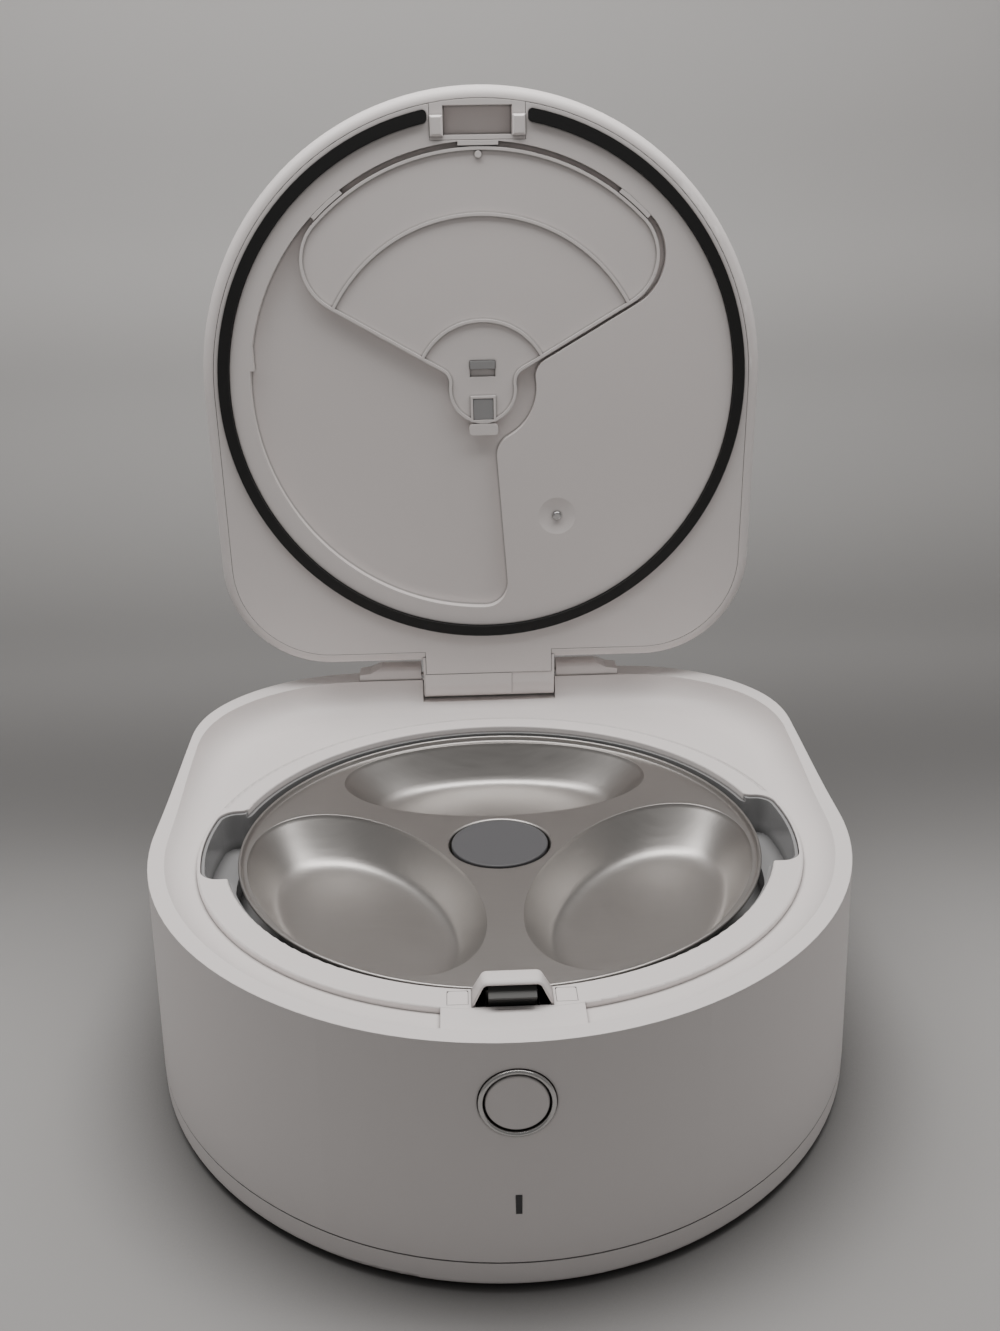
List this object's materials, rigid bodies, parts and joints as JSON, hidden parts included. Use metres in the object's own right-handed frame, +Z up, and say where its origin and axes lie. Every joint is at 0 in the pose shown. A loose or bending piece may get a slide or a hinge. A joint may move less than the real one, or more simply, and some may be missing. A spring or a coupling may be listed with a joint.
{
  "type": "automatic wet food cat feeder",
  "caption": "Chilled pet feeder with a round-fronted base, a turning steel tray with three cups, and a hinged lid that holds a rotating door over the feeding opening.",
  "frame": {"origin": "centre of the footprint's box at table level, with the lid open at rest", "axes": "+Z up, +Y to the hinge at the rear, +X to the right as seen from the front"},
  "size_m": [0.3232, 0.3799, 0.4342],
  "materials": {
    "white_plastic": "fine satin",
    "grey_plastic": "semi-gloss",
    "black_rubber": "matte",
    "foot_rubber": "matte",
    "tray_steel": "satin pressed sheet",
    "screw_steel": "plain",
    "bush_brass": "turned",
    "foam": "foam",
    "cooler_aluminium": "extruded",
    "ceramic": "ceramic",
    "black_plastic": "satin",
    "gear_plastic": "plain",
    "motor_metal": "plain",
    "board": "laminate",
    "light_lens": "diffusing"
  },
  "bodies": {
    "base": {"housing": "white_plastic", "seat_ring": "white_plastic", "bottom_cover": "white_plastic", "feet": "foot_rubber", "housing_screws": "screw_steel", "well_liner": "grey_plastic", "shaft_bush": "bush_brass", "insulation": "foam", "cold_plate": "cooler_aluminium", "thermoelectric_module": "ceramic", "heat_sink": "cooler_aluminium", "fan_frame": "black_plastic", "tray_motor": "motor_metal", "control_board": "board", "board_components": "black_plastic", "dc_inlet": "black_plastic", "button_ring": "white_plastic", "button_spring": "screw_steel", "light_guide": "light_lens", "latch_tower": "white_plastic", "side_panels": "white_plastic", "hinge_pin": "screw_steel", "hinge_cover_left": "white_plastic", "hinge_cover_right": "white_plastic"},
    "turntable": {"drive_gear": "gear_plastic", "drive_hub": "gear_plastic", "hub_cap": "grey_plastic", "tray": "tray_steel"},
    "tray_pinion": {"motor_pinion": "gear_plastic"},
    "fan": {"fan_rotor": "black_plastic"},
    "button": {"button_cap": "white_plastic"},
    "latch": {"latch_hook": "grey_plastic"},
    "lid": {"lid_shell": "white_plastic", "lid_inner_panel": "white_plastic", "lid_gasket": "black_rubber", "latch_keeper": "white_plastic", "feeding_funnel": "white_plastic", "door_motor": "motor_metal", "door_guides": "white_plastic", "temperature_probe": "screw_steel", "hinge_patch": "white_plastic", "torsion_spring": "screw_steel"},
    "door": {"door_panel": "white_plastic", "door_window": "grey_plastic", "door_catch": "white_plastic", "door_shaft": "gear_plastic", "door_gear": "gear_plastic"},
    "door_drive": {"door_pinion": "gear_plastic"},
    "slider": {"lock_slider": "grey_plastic"}
  },
  "joints": [
    {"name": "lid_hinge", "type": "hinge", "parent": "base", "child": "lid", "pos_m": [0, 0.14372, 0.119], "axis": [1, 0, 0], "range_deg": [0, 87.7], "stiffness_Nm_per_rad": 0.8, "springref_deg": -57.3},
    {"name": "tray_spin", "type": "hinge", "parent": "base", "child": "turntable", "pos_m": [0, -0.02428, 0.06], "axis": [0, 0, 1], "continuous": true},
    {"name": "tray_pinion_spin", "type": "hinge", "parent": "base", "child": "tray_pinion", "pos_m": [-0.03196, -0.05625, 0.048], "axis": [0, 0, 1], "continuous": true},
    {"name": "fan_spin", "type": "hinge", "parent": "base", "child": "fan", "pos_m": [0, 0.05372, 0.029], "axis": [0, 0, 1], "continuous": true},
    {"name": "button_push", "type": "slide", "parent": "base", "child": "button", "axis": [0, 1, 0], "range_m": [0, 0.0025], "stiffness_N_per_m": 400, "springref_m": -0.003},
    {"name": "latch_release", "type": "slide", "parent": "base", "child": "latch", "axis": [0, 1, 0], "range_m": [0, 0.0025]},
    {"name": "door_swing", "type": "hinge", "parent": "lid", "child": "door", "pos_m": [0, 0.12998, 0.28658], "axis": [0, -0.9992, -0.0401], "range_deg": [0, 120]},
    {"name": "door_pinion_spin", "type": "hinge", "parent": "lid", "child": "door_drive", "pos_m": [0.02273, 0.13789, 0.26415], "axis": [0, -0.9992, -0.0401], "range_deg": [-360, 0]},
    {"name": "door_lock", "type": "slide", "parent": "door", "child": "slider", "axis": [0, 0.0401, -0.9992], "range_m": [0, 0.004]}
  ],
  "couplings": [
    {"joint": "tray_pinion_spin", "follows": "tray_spin", "ratio": -4},
    {"joint": "door_pinion_spin", "follows": "door_swing", "ratio": -3},
    {"joint": "latch_release", "follows": "button_push", "ratio": 1}
  ]
}
